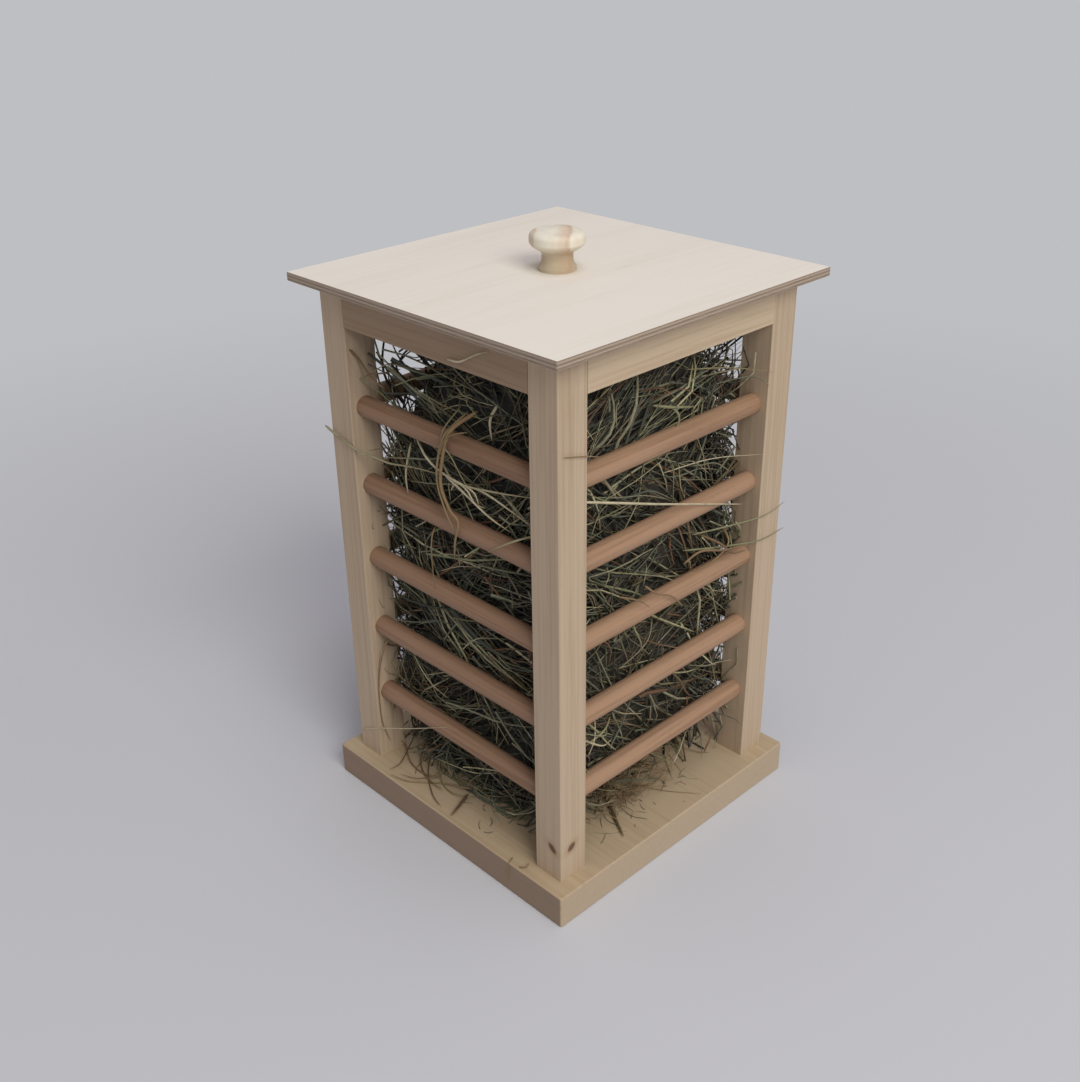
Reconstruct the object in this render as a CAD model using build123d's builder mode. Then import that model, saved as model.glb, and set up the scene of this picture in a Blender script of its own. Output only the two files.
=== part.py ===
"""A square tower hay feeder: base board, four corner posts, top rails, round rungs and a lift-off lid.

The origin is the centre of the base board's underside and +Z is up. The front is the -Y side.
All lengths are in millimetres.
"""

from build123d import *
import os
from math import sqrt

# ---- Driving dimensions: the cage -------------------------------------------------------------
post_width = 25.0  # square section of a corner post
clear_span = 180.0  # opening between two posts
post_arris = 0.8  # eased long edges of posts

rung_count = 5  # rungs on each side
rung_pitch = 60.0  # from rung to rung, and from the end rungs to base and rail
rung_dia = 15.0
rung_end_chamfer = 0.8
rung_web = 0.9  # wood left between a rung's end and the side of the rung that meets it in the post

rail_height = 28.0
rail_depth = 20.0
rail_arris = 0.6

# ---- Driving dimensions: the base board -------------------------------------------------------
base_thick = 26.0
base_margin = 12.5  # base board beyond the posts
base_corner_round = 2.0
base_arris = 1.2

# ---- Driving dimensions: the lid --------------------------------------------------------------
lid_thick = 6.0
lid_overhang = 15.0  # lid beyond the posts
lid_corner_round = 1.0
lid_arris = 0.4

batten_width = 12.0
batten_height = 12.0
batten_side_play = 2.0  # from a batten to the rail beside it
batten_end_play = 5.0  # from a batten's end to the post beside it
batten_arris = 0.8
batten_screw_inset = 25.0  # from a batten's end to its screw

knob_height = 28.5
knob_head_dia = 38.4
knob_neck_dia = 21.5
knob_foot_dia = 26.2
knob_foot_rim = 2.5  # height of the straight band at the foot
knob_neck_at = 10.5  # height of the narrowest place
knob_rim_low = 19.0  # height where the head's straight rim begins
knob_rim_height = 3.0
knob_crown_dia = 24.0  # where the domed top turns down to the rim
knob_crown_drop = 1.6  # height of the dome

# ---- Driving dimensions: fasteners ------------------------------------------------------------
rail_dowel_dia = 6.0
rail_dowel_spacing = 14.0  # the two dowels of a joint, one above the other
rail_dowel_in_rail = 12.0
rail_dowel_web = 1.0  # wood left between the dowels of the two rails that meet in a post
rail_dowel_chamfer = 0.5

base_screw_dia = 4.0
base_screw_length = 50.0
base_screw_head_dia = 8.0

batten_screw_dia = 3.0
batten_screw_length = 16.0
batten_screw_head_dia = 6.0

knob_screw_dia = 4.0
knob_screw_length = 22.0
knob_screw_head_dia = 9.0
knob_screw_head_height = 2.6

screw_tip = 1.0  # length of a screw's point as a share of its diameter
screw_sink = 0.4  # how far a flat screw head lies below the wood
cross_width = 1.1  # arms of the cross recess in every screw head
cross_depth = 1.2
cross_span = 0.6  # length of the cross as a share of the head's diameter
countersink_angle = 90.0

# ---- Driving dimensions: the hay --------------------------------------------------------------
hay_gap = 9.0  # from the hay's widest part to the rungs
hay_corner_round = 44.0  # the hay leaves the posts' corners open
hay_foot_inset = 12.0  # how far its foot stands back from its widest part
hay_belly_low = 62.0  # height above the base where the hay reaches its full width
hay_shoulder_drop = 42.0  # from the lid down to where the hay begins to close in
hay_top_gap = 20.0  # from the lid down to the hay's crown
hay_crown = 140.0  # the flat on top of the crown
hay_round_share = 0.48  # the most of a section's width that one rounded corner may take
hay_left_crest = 55.0  # from the middle to where the crown falls away towards the left corner
hay_right_crest = 78.0  # the same towards the right corner
hay_fall_drop = 70.0  # height lost over each of the two slopes' run
hay_fall_run = 45.0

# ---- Named clearances -------------------------------------------------------------------------
glue_gap = 0.1  # radial, round a dowel, a rung or a screw in its hole
end_gap = 0.2  # past the end of a dowel, a rung or a screw

# ---- Worked out from the above ----------------------------------------------------------------
body_side = clear_span + 2 * post_width
base_side = body_side + 2 * base_margin
lid_side = body_side + 2 * lid_overhang
rail_bottom = base_thick + (rung_count + 1) * rung_pitch
frame_top = rail_bottom + rail_height
lid_top = frame_top + lid_thick
post_length = frame_top - base_thick

inner_face = clear_span / 2  # distance of a post's inner faces from the middle
post_offset = body_side / 2 - post_width / 2  # the posts' and the rungs' centre lines
rail_offset = body_side / 2 - rail_depth / 2
rung_levels = [base_thick + (level + 1) * rung_pitch for level in range(rung_count)]
rung_seat = post_offset - rung_dia / 2 - inner_face - rung_web
rung_length = clear_span + 2 * rung_seat
rail_dowel_seat = rail_offset - rail_dowel_dia / 2 - inner_face - rail_dowel_web
rail_dowel_levels = [
    rail_bottom + rail_height / 2 - rail_dowel_spacing / 2,
    rail_bottom + rail_height / 2 + rail_dowel_spacing / 2,
]

batten_offset = body_side / 2 - rail_depth - batten_side_play - batten_width / 2
batten_length = clear_span - 2 * batten_end_play
batten_screw_x = batten_length / 2 - batten_screw_inset

# A side is named, and turned about Z from the front side.
side_angles = {"front": 0, "right": 90, "back": 180, "left": 270}
# A post is named by its corner, and turned about Z from the front right corner.
post_angles = {"front_right": 0, "back_right": 90, "back_left": 180, "front_left": 270}

os.makedirs("parts", exist_ok=True)


def save(builder, name):
    """Label a finished piece and write it to its own STEP file."""
    builder.part.label = name
    export_step(builder.part, f"parts/{name}.step")


def build_base_board():
    """The thick board that everything stands on, with countersunk screw holes from below."""
    with BuildPart() as base_board:
        with BuildSketch(Plane.XY):
            RectangleRounded(base_side, base_side, base_corner_round)
        extrude(amount=base_thick)
        fillet(base_board.faces().sort_by(Axis.Z)[-1].edges(), base_arris)
        fillet(base_board.faces().sort_by(Axis.Z)[0].edges(), base_arris)
        with Locations(Location((0, 0, 0), (180, 0, 0))):
            with GridLocations(2 * post_offset, 2 * post_offset, 2, 2):
                CounterSinkHole(
                    base_screw_dia / 2 + glue_gap,
                    base_screw_head_dia / 2 + screw_sink + glue_gap,
                    counter_sink_angle=countersink_angle,
                )
    save(base_board, "base_board")


def build_front_right_post():
    """One corner post, bored on its two inner faces for rungs and rail dowels, and from below."""
    with BuildPart() as post:
        with BuildSketch(Plane.XY.offset(base_thick)):
            with Locations((post_offset, -post_offset)):
                Rectangle(post_width, post_width)
        extrude(amount=post_length)
        fillet(post.edges().filter_by(Axis.Z), post_arris)
        # The rungs and rail of the front side enter the inner face that looks towards -X.
        with BuildSketch(Plane.YZ.offset(inner_face)):
            with Locations(*[(-post_offset, level) for level in rung_levels]):
                Circle(rung_dia / 2 + glue_gap)
        extrude(amount=rung_seat + end_gap, mode=Mode.SUBTRACT)
        with BuildSketch(Plane.YZ.offset(inner_face)):
            with Locations(*[(-rail_offset, level) for level in rail_dowel_levels]):
                Circle(rail_dowel_dia / 2 + glue_gap)
        extrude(amount=rail_dowel_seat + end_gap, mode=Mode.SUBTRACT)
        # Those of the right side enter the inner face that looks towards +Y.
        with BuildSketch(Plane.XZ.offset(inner_face)):
            with Locations(*[(post_offset, level) for level in rung_levels]):
                Circle(rung_dia / 2 + glue_gap)
        extrude(amount=rung_seat + end_gap, mode=Mode.SUBTRACT)
        with BuildSketch(Plane.XZ.offset(inner_face)):
            with Locations(*[(rail_offset, level) for level in rail_dowel_levels]):
                Circle(rail_dowel_dia / 2 + glue_gap)
        extrude(amount=rail_dowel_seat + end_gap, mode=Mode.SUBTRACT)
        # The base screw comes up the middle.
        with BuildSketch(Plane.XY.offset(base_thick)):
            with Locations((post_offset, -post_offset)):
                Circle(base_screw_dia / 2 + glue_gap)
        extrude(amount=screw_sink + base_screw_length - base_thick + end_gap, mode=Mode.SUBTRACT)
    return post


def build_posts():
    front_right = build_front_right_post()
    for corner, angle in post_angles.items():
        with BuildPart() as post:
            add(front_right.part, rotation=(0, 0, angle))
        save(post, f"post_{corner}")


def build_top_rails():
    """The four rails, flush with the posts outside, each with two dowel holes in either end."""
    for side, angle in side_angles.items():
        with BuildPart() as rail:
            with BuildSketch(Plane.YZ.offset(-inner_face)):
                with Locations((-rail_offset, rail_bottom + rail_height / 2)):
                    Rectangle(rail_depth, rail_height)
            extrude(amount=clear_span)
            fillet(rail.edges().filter_by(Axis.X), rail_arris)
            for end in (-1, 1):
                with BuildSketch(Plane.YZ.offset(end * inner_face)):
                    with Locations(*[(-rail_offset, level) for level in rail_dowel_levels]):
                        Circle(rail_dowel_dia / 2 + glue_gap)
                extrude(amount=-end * (rail_dowel_in_rail + end_gap), mode=Mode.SUBTRACT)
        with BuildPart() as top_rail:
            add(rail.part, rotation=(0, 0, angle))
        save(top_rail, f"top_rail_{side}")


def build_rail_dowels():
    """Two short dowels in each rail joint, sixteen in all."""
    dowel_length = rail_dowel_in_rail + rail_dowel_seat
    with BuildPart() as front_dowels:
        for end in (-1, 1):
            start = end * (inner_face - rail_dowel_in_rail)
            with BuildSketch(Plane.YZ.offset(start)):
                with Locations(*[(-rail_offset, level) for level in rail_dowel_levels]):
                    Circle(rail_dowel_dia / 2)
            extrude(amount=end * dowel_length)
        chamfer(front_dowels.edges().filter_by(GeomType.CIRCLE), rail_dowel_chamfer)
    with BuildPart() as rail_dowels:
        for angle in side_angles.values():
            add(front_dowels.part, rotation=(0, 0, angle))
    save(rail_dowels, "rail_dowels")


def build_rungs():
    """Five round rungs a side, glued into blind holes in the posts."""
    for side, angle in side_angles.items():
        for number, level in enumerate(rung_levels, start=1):
            with BuildPart() as blank:
                with BuildSketch(Plane.YZ.offset(-rung_length / 2)):
                    with Locations((-post_offset, level)):
                        Circle(rung_dia / 2)
                extrude(amount=rung_length)
                chamfer(blank.edges().filter_by(GeomType.CIRCLE), rung_end_chamfer)
            with BuildPart() as rung:
                add(blank.part, rotation=(0, 0, angle))
            save(rung, f"rung_{side}_{number}")


def cross_recess(head_dia, height):
    """The outline of the cross recess in a screw head that looks down -Z."""
    with BuildSketch(Plane.XY.offset(height)) as cross:
        Rectangle(cross_span * head_dia, cross_width)
        Rectangle(cross_width, cross_span * head_dia)
    return cross.sketch


def build_flat_screw(dia, length, head_dia):
    """A countersunk screw with the flat of its head at z = 0 and its point up."""
    tip = screw_tip * dia
    head_cone = (head_dia - dia) / 2
    with BuildPart() as screw:
        with BuildSketch(Plane.XZ):
            with BuildLine():
                Polyline(
                    (0, 0),
                    (head_dia / 2, 0),
                    (dia / 2, head_cone),
                    (dia / 2, length - tip),
                    (0, length),
                    close=True,
                )
            make_face()
        revolve(axis=Axis.Z)
        extrude(cross_recess(head_dia, 0), amount=cross_depth, mode=Mode.SUBTRACT)
    return screw


def build_base_screws():
    """Four countersunk screws, up through the base board into the posts."""
    screw = build_flat_screw(base_screw_dia, base_screw_length, base_screw_head_dia)
    with BuildPart() as base_screws:
        with Locations((0, 0, screw_sink)):
            with GridLocations(2 * post_offset, 2 * post_offset, 2, 2):
                add(screw.part)
    save(base_screws, "base_screws")


def build_lid_board():
    """The plywood lid, with a hole for the knob's screw and blind holes for the battens' screws."""
    screw_reach = screw_sink + batten_screw_length - batten_height + end_gap
    with BuildPart() as lid_board:
        with BuildSketch(Plane.XY.offset(frame_top)):
            RectangleRounded(lid_side, lid_side, lid_corner_round)
        extrude(amount=lid_thick)
        chamfer(lid_board.faces().sort_by(Axis.Z)[-1].edges(), lid_arris)
        chamfer(lid_board.faces().sort_by(Axis.Z)[0].edges(), lid_arris)
        with Locations((0, 0, lid_top)):
            Hole(knob_screw_dia / 2 + glue_gap)
        with BuildSketch(Plane.XY.offset(frame_top)):
            with GridLocations(2 * batten_screw_x, 2 * batten_offset, 2, 2):
                Circle(batten_screw_dia / 2 + glue_gap)
        extrude(amount=screw_reach, mode=Mode.SUBTRACT)
    save(lid_board, "lid_board")


def build_lid_battens():
    """Two battens under the lid that keep it from sliding off the rails."""
    for side, sign in (("front", -1), ("back", 1)):
        with BuildPart() as batten:
            with BuildSketch(Plane.XY.offset(frame_top - batten_height)):
                with Locations((0, sign * batten_offset)):
                    Rectangle(batten_length, batten_width)
            extrude(amount=batten_height)
            fillet(batten.faces().sort_by(Axis.Z)[0].edges(), batten_arris)
            with Locations(Location((0, sign * batten_offset, frame_top - batten_height), (180, 0, 0))):
                with GridLocations(2 * batten_screw_x, 0, 2, 1):
                    CounterSinkHole(
                        batten_screw_dia / 2 + glue_gap,
                        batten_screw_head_dia / 2 + screw_sink + glue_gap,
                        counter_sink_angle=countersink_angle,
                    )
        save(batten, f"lid_batten_{side}")


def build_batten_screws():
    """Two short countersunk screws in each batten."""
    screw = build_flat_screw(batten_screw_dia, batten_screw_length, batten_screw_head_dia)
    with BuildPart() as batten_screws:
        with Locations((0, 0, frame_top - batten_height + screw_sink)):
            with GridLocations(2 * batten_screw_x, 2 * batten_offset, 2, 2):
                add(screw.part)
    save(batten_screws, "batten_screws")


def build_knob():
    """The turned knob: a waisted stem on a flared foot, under a broad domed head."""
    rim_top = knob_rim_low + knob_rim_height
    crown_low = knob_height - knob_crown_drop
    with BuildPart() as knob:
        with BuildSketch(Plane.XZ):
            with BuildLine():
                Line((0, lid_top), (knob_foot_dia / 2, lid_top))
                Line((knob_foot_dia / 2, lid_top), (knob_foot_dia / 2, lid_top + knob_foot_rim))
                Spline(
                    (knob_foot_dia / 2, lid_top + knob_foot_rim),
                    (knob_neck_dia / 2, lid_top + knob_neck_at),
                    (knob_head_dia / 2, lid_top + knob_rim_low),
                    tangents=[(-1, 1), (0, 1), (0.5, 1)],
                )
                Line((knob_head_dia / 2, lid_top + knob_rim_low), (knob_head_dia / 2, lid_top + rim_top))
                Spline(
                    (knob_head_dia / 2, lid_top + rim_top),
                    (knob_crown_dia / 2, lid_top + crown_low),
                    (0, lid_top + knob_height),
                    tangents=[(0, 1), (-1, 0)],
                )
                Line((0, lid_top + knob_height), (0, lid_top))
            make_face()
        revolve(axis=Axis.Z)
        with BuildSketch(Plane.XY.offset(lid_top)):
            Circle(knob_screw_dia / 2 + glue_gap)
        extrude(amount=knob_screw_length - lid_thick + end_gap, mode=Mode.SUBTRACT)
    save(knob, "knob")


def build_knob_screw():
    """The pan-head screw that holds the knob from under the lid."""
    tip = screw_tip * knob_screw_dia
    with BuildPart() as knob_screw:
        with BuildSketch(Plane.XZ):
            with BuildLine():
                Polyline(
                    (0, frame_top - knob_screw_head_height),
                    (knob_screw_head_dia / 2, frame_top - knob_screw_head_height),
                    (knob_screw_head_dia / 2, frame_top),
                    (knob_screw_dia / 2, frame_top),
                    (knob_screw_dia / 2, frame_top + knob_screw_length - tip),
                    (0, frame_top + knob_screw_length),
                    close=True,
                )
            make_face()
        revolve(axis=Axis.Z)
        head_edge = knob_screw.edges().filter_by(GeomType.CIRCLE).sort_by(Axis.Z)[0]
        fillet(head_edge, knob_screw_head_height / 2)
        cross = cross_recess(knob_screw_head_dia, frame_top - knob_screw_head_height)
        extrude(cross, amount=cross_depth, mode=Mode.SUBTRACT)
    save(knob_screw, "knob_screw")


def build_hay():
    """The fill of hay on the base board: drawn in at the foot, low towards the left and right corners."""
    rung_inside = post_offset - rung_dia / 2
    belly = 2 * (rung_inside - hay_gap)
    foot = belly - 2 * hay_foot_inset
    shoulder = frame_top - hay_shoulder_drop
    crown_top = frame_top - hay_top_gap
    sections = (
        (base_thick, foot),
        (base_thick + hay_belly_low, belly),
        (shoulder, belly),
        (crown_top, hay_crown),
    )
    with BuildPart() as hay:
        for height, width in sections:
            with BuildSketch(Plane.XY.offset(height)):
                RectangleRounded(width, width, min(hay_corner_round, hay_round_share * width))
        loft(ruled=True)
        for sign, crest in ((-1, hay_left_crest), (1, hay_right_crest)):
            slope = Plane(
                origin=(sign * crest / sqrt(2), sign * crest / sqrt(2), crown_top),
                z_dir=(sign * hay_fall_drop, sign * hay_fall_drop, sqrt(2) * hay_fall_run),
            )
            split(bisect_by=slope, keep=Keep.BOTTOM)
    save(hay, "hay")


build_base_board()
build_posts()
build_top_rails()
build_rail_dowels()
build_rungs()
build_base_screws()
build_lid_board()
build_lid_battens()
build_batten_screws()
build_knob()
build_knob_screw()
build_hay()
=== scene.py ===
"""Hay feeder box with a lift-off lid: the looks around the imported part. Metres, +Z up."""
import math
import random

import bmesh
import bpy
from mathutils import Matrix, Vector, noise


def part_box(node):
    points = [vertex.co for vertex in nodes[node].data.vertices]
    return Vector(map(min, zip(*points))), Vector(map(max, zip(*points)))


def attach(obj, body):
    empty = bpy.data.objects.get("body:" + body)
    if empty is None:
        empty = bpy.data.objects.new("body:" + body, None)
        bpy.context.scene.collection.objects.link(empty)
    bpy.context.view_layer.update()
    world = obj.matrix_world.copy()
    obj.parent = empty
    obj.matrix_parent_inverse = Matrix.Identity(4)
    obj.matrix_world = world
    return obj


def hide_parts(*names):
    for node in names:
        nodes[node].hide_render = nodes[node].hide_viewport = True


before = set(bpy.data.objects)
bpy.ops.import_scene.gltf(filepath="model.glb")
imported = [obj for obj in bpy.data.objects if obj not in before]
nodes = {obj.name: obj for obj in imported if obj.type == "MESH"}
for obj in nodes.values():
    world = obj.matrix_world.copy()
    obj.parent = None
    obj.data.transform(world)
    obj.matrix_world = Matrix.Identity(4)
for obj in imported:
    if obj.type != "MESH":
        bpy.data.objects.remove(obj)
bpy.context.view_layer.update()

MM = 0.001


def middle_height(name):
    """The height of the middle of one of the part's pieces."""
    low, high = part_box(name)
    return (low[2] + high[2]) / 2


# Sizes of the feeder that the looks follow, in metres
base_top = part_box("base_board")[1][2]
post_inner = -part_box("post_front_left")[1][0]
frame_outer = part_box("post_back_right")[1][0]
lid_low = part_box("lid_board")[0][2]
lid_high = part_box("lid_board")[1][2]
batten_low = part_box("lid_batten_front")[0][2]
first_rung = middle_height("rung_front_1")
rung_pitch = middle_height("rung_front_2") - first_rung


# ---------------------------------------------------------------- small helpers

def held(value, low, high):
    """The value, kept inside a range."""
    return min(max(value, low), high)


def new_object(name, data):
    """Puts a new object with this data into the scene."""
    thing = bpy.data.objects.new(name, data)
    bpy.context.scene.collection.objects.link(thing)
    return thing


def tone(red, green, blue):
    """A colour written as it looks on screen, 0 to 255, as a node takes it."""
    linear = []
    for part in (red, green, blue):
        value = part / 255
        linear.append(value / 12.92 if value <= 0.04045 else ((value + 0.055) / 1.055) ** 2.4)
    return (*linear, 1.0)


def add(tree, kind, inputs=None, **settings):
    """Adds a node, sets its settings, then fills or links its inputs by name or number."""
    node = tree.nodes.new(kind)
    for name, value in settings.items():
        setattr(node, name, value)
    for key, value in (inputs or {}).items():
        if isinstance(value, bpy.types.NodeSocket):
            tree.links.new(value, node.inputs[key])
        else:
            node.inputs[key].default_value = value
    return node


def output(tree, kind, inputs=None, **settings):
    """Adds a node in the same way, and gives its first output."""
    return add(tree, kind, inputs, **settings).outputs[0]


def maths(tree, operation, *terms, clamp=False):
    """One Math node's result."""
    return output(tree, "ShaderNodeMath", dict(enumerate(terms)), operation=operation, use_clamp=clamp)


def vectors(tree, operation, *terms):
    """One Vector Math node's vector."""
    return output(tree, "ShaderNodeVectorMath", dict(enumerate(terms)), operation=operation)


def scaled(tree, vector, factor):
    """A vector times a number."""
    return output(tree, "ShaderNodeVectorMath", {0: vector, "Scale": factor}, operation="SCALE")


def length_of(tree, vector):
    """How long a vector is."""
    return add(tree, "ShaderNodeVectorMath", {0: vector}, operation="LENGTH").outputs["Value"]


def parts_of(tree, vector):
    """A vector's X, Y and Z."""
    return add(tree, "ShaderNodeSeparateXYZ", {0: vector}).outputs


def speckle(tree, place, scale, detail):
    """A noise texture's value."""
    return output(tree, "ShaderNodeTexNoise", {"Vector": place, "Scale": scale, "Detail": detail})


def blend_colours(tree, factor, first, second):
    """Mixes two colours by a factor."""
    return add(tree, "ShaderNodeMix", {0: factor, 6: first, 7: second}, data_type="RGBA").outputs[2]


def spread(tree, value, low, high, to_low=0.0, to_high=1.0):
    """Maps a value from one range to another, kept inside it, with soft ends."""
    return output(tree, "ShaderNodeMapRange", {0: value, 1: low, 2: high, 3: to_low, 4: to_high},
                  interpolation_type="SMOOTHSTEP")


def roughen(tree, shader, height, strength, distance):
    """Bumps a material's surface by a height."""
    bump = output(tree, "ShaderNodeBump", {"Height": height, "Strength": strength, "Distance": distance})
    tree.links.new(bump, shader.inputs["Normal"])


def new_group(name, kind, sockets_in, sockets_out):
    """A node group with its named inputs, as (name, type, default), and outputs, as (name, type)."""
    group = bpy.data.node_groups.new(name, kind)
    for label, socket, default in sockets_in:
        entry = group.interface.new_socket(name=label, in_out="INPUT", socket_type=socket)
        if default is not None:
            entry.default_value = default
    for label, socket in sockets_out:
        group.interface.new_socket(name=label, in_out="OUTPUT", socket_type=socket)
    return group, group.nodes.new("NodeGroupInput"), group.nodes.new("NodeGroupOutput")


def start_material(name):
    """A new node material with its Principled BSDF, and the texture coordinates it reads."""
    material = bpy.data.materials.new(name)
    material.use_nodes = True
    tree = material.node_tree
    return material, tree, tree.nodes["Principled BSDF"], tree.nodes.new("ShaderNodeTexCoord").outputs


# ---------------------------------------------------------------- wood

def make_wood_grain():
    """Growth rings round the X axis, fine streaks along it, and pores. Sizes are in metres."""
    group, inn, out = new_group(
        "wood_grain", "ShaderNodeTree",
        [("Vector", "NodeSocketVector", None), ("Ring Width", "NodeSocketFloat", 0.003),
         ("Waviness", "NodeSocketFloat", 0.004)],
        [("Rings", "NodeSocketFloat"), ("Streaks", "NodeSocketFloat"), ("Pores", "NodeSocketFloat"),
         ("Cloud", "NodeSocketFloat")])
    place = inn.outputs["Vector"]
    long_way = vectors(group, "MULTIPLY", place, (0.12, 1.0, 1.0))
    drift = add(group, "ShaderNodeTexNoise", {"Vector": long_way, "Scale": 22.0, "Detail": 2.0})
    drawn = vectors(group, "SUBTRACT", drift.outputs["Color"], (0.5, 0.5, 0.5))
    bent = vectors(group, "ADD", place, scaled(group, drawn, inn.outputs["Waviness"]))
    from_heart = length_of(group, vectors(group, "MULTIPLY", bent, (0.0, 1.0, 1.0)))
    ring = maths(group, "FRACT", maths(group, "DIVIDE", from_heart, inn.outputs["Ring Width"]))
    rise = maths(group, "POWER", ring, 2.4)
    rings = maths(group, "MULTIPLY", rise, spread(group, ring, 0.9, 1.0, 1.0, 0.0))
    thin = vectors(group, "MULTIPLY", place, (0.02, 1.0, 1.0))
    streaks = output(group, "ShaderNodeTexNoise",
                     {"Vector": thin, "Scale": 300.0, "Detail": 5.0, "Roughness": 0.6})
    short = vectors(group, "MULTIPLY", place, (0.08, 1.0, 1.0))
    pores = spread(group, speckle(group, short, 1500.0, 1.0), 0.62, 0.74)
    cloud = speckle(group, long_way, 34.0, 2.0)
    for label, value in (("Rings", rings), ("Streaks", streaks), ("Pores", pores), ("Cloud", cloud)):
        group.links.new(value, out.inputs[label])
    return group


wood_grain = make_wood_grain()

GRAIN_TURNS = {"X": (0.0, 0.0, 0.0), "Y": (0.0, 0.0, -math.pi / 2), "Z": (0.0, math.pi / 2, 0.0)}


def make_wood(name, along, pale, deep, heart, ring_width=0.003, ring_depth=0.35, streak_depth=0.35,
              pore_depth=0.15, waviness=0.004, extra=None):
    """A bare, sanded timber with its grain along one axis and its rings round the heart.

    extra(tree, here, colour) may add to its colour.
    """
    material, tree, shader, here = start_material(name)
    turned = output(tree, "ShaderNodeMapping",
                    {"Vector": here["Object"], "Rotation": GRAIN_TURNS[along], "Location": heart})
    grain = add(tree, "ShaderNodeGroup", {"Vector": turned, "Ring Width": ring_width, "Waviness": waviness},
                node_tree=wood_grain).outputs
    rings = maths(tree, "MULTIPLY", grain["Rings"], ring_depth)
    streaks = spread(tree, grain["Streaks"], 0.3, 0.7, -streak_depth, streak_depth)
    cloud = spread(tree, grain["Cloud"], 0.3, 0.7, -0.12, 0.16)
    pores = maths(tree, "MULTIPLY", grain["Pores"], pore_depth)
    lines = maths(tree, "ADD", rings, streaks)
    drawn = maths(tree, "ADD", lines, maths(tree, "ADD", cloud, pores), clamp=True)
    colour = blend_colours(tree, drawn, tone(*pale), tone(*deep))
    if extra:
        colour = extra(tree, here, colour)
    tree.links.new(colour, shader.inputs["Base Color"])
    tree.links.new(spread(tree, grain["Streaks"], 0.3, 0.7, 0.49, 0.63), shader.inputs["Roughness"])
    shader.inputs["Specular IOR Level"].default_value = 0.3
    roughen(tree, shader, maths(tree, "SUBTRACT", grain["Streaks"], grain["Pores"]), 0.25, 0.2 * MM)
    return material


def knot_marks(tree, here, colour):
    """The two dark slanted knots near the foot of the front right post, on its front and its right face."""
    height = base_top + 26 * MM
    knots = (
        # middle, turn, and half sizes
        ((frame_outer - 8.4 * MM, -frame_outer, height), (0.0, math.radians(-42), 0.0),
         (4.8 * MM, 2.6 * MM, 2.7 * MM)),
        ((frame_outer, -frame_outer + 10.6 * MM, height), (math.radians(-38), 0.0, 0.0),
         (2.6 * MM, 4.3 * MM, 2.8 * MM)),
    )
    for middle, turn, size in knots:
        away = vectors(tree, "SUBTRACT", here["Object"], middle)
        turned = output(tree, "ShaderNodeVectorRotate", {"Vector": away, "Rotation": turn},
                        rotation_type="EULER_XYZ")
        reach = length_of(tree, vectors(tree, "DIVIDE", turned, size))
        halo = spread(tree, reach, 1.0, 2.6, 0.45, 0.0)
        core = spread(tree, reach, 0.6, 1.25, 0.95, 0.0)
        colour = blend_colours(tree, halo, colour, tone(168, 132, 96))
        colour = blend_colours(tree, core, colour, tone(96, 74, 58))
    return colour


def knob_shank_painted_shade(tree, here, colour):
    """Painted shade: the knob is painted browner and darker on its turned shank, under its head, than on its
    head.
    """
    height = parts_of(tree, here["Object"])[2]
    # painted shade, strongest low on the shank
    low = spread(tree, height, lid_high + 9 * MM, lid_high + 20 * MM, 0.7, 0.0)
    return blend_colours(tree, low, colour, tone(170, 146, 112))


def base_ends_and_painted_side_shade(tree, here, colour):
    """The base board's ends are a greyer cut than its face. Its long sides are painted darker and browner:
    painted shade, as on its shaded front side.
    """
    facing = parts_of(tree, here["Normal"])
    # side masks the long sides, which get the painted shade
    side = spread(tree, maths(tree, "ABSOLUTE", facing[1]), 0.75, 0.98, 0.0, 0.9)
    end = spread(tree, maths(tree, "ABSOLUTE", facing[0]), 0.75, 0.98, 0.0, 0.75)
    colour = blend_colours(tree, end, colour, tone(180, 161, 138))
    return blend_colours(tree, side, colour, tone(142, 119, 101))


def ply_edge(tree, here, colour):
    """Shows the five plies on the lid's narrow edges, and leaves its faces."""
    plies = 5.0
    place = here["Object"]
    height = parts_of(tree, place)[2]
    depth = output(tree, "ShaderNodeMapRange", {0: height, 1: lid_low, 2: lid_high, 3: 0.0, 4: plies})
    drift = speckle(tree, place, 60.0, 2.0)
    wobble = maths(tree, "MULTIPLY", maths(tree, "SUBTRACT", drift, 0.5), 0.35)
    share = maths(tree, "PINGPONG", maths(tree, "ADD", depth, wobble), 1.0)
    cross = spread(tree, share, 0.42, 0.58)
    from_glue = maths(tree, "ABSOLUTE", maths(tree, "SUBTRACT", share, 0.5))
    glue = maths(tree, "MULTIPLY", spread(tree, from_glue, 0.0, 0.12, 1.0, 0.0), 0.4)
    patches = spread(tree, drift, 0.35, 0.65, 0.0, 0.35)
    fibres = spread(tree, speckle(tree, place, 900.0, 3.0), 0.35, 0.7, 0.0, 0.3)
    layered = blend_colours(tree, cross, tone(182, 165, 146), tone(140, 121, 104))
    layered = blend_colours(tree, glue, layered, tone(86, 70, 58))
    layered = blend_colours(tree, patches, layered, tone(166, 150, 134))
    layered = blend_colours(tree, fibres, layered, tone(118, 100, 84))
    upright = maths(tree, "ABSOLUTE", parts_of(tree, here["Normal"])[2])
    return blend_colours(tree, spread(tree, upright, 0.78, 0.95, 1.0, 0.0), colour, layered)


post_tones = ((190, 169, 144), (164, 139, 112))
post_heart = (0.0, 0.055, 0.03)
rail_heart = (0.0, 0.02, -0.36)
beech_grain = {"heart": (0.03, 0.04, 0.0), "ring_width": 0.002, "ring_depth": 0.25, "streak_depth": 0.5,
               "pore_depth": 0.35, "waviness": 0.003}

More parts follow.
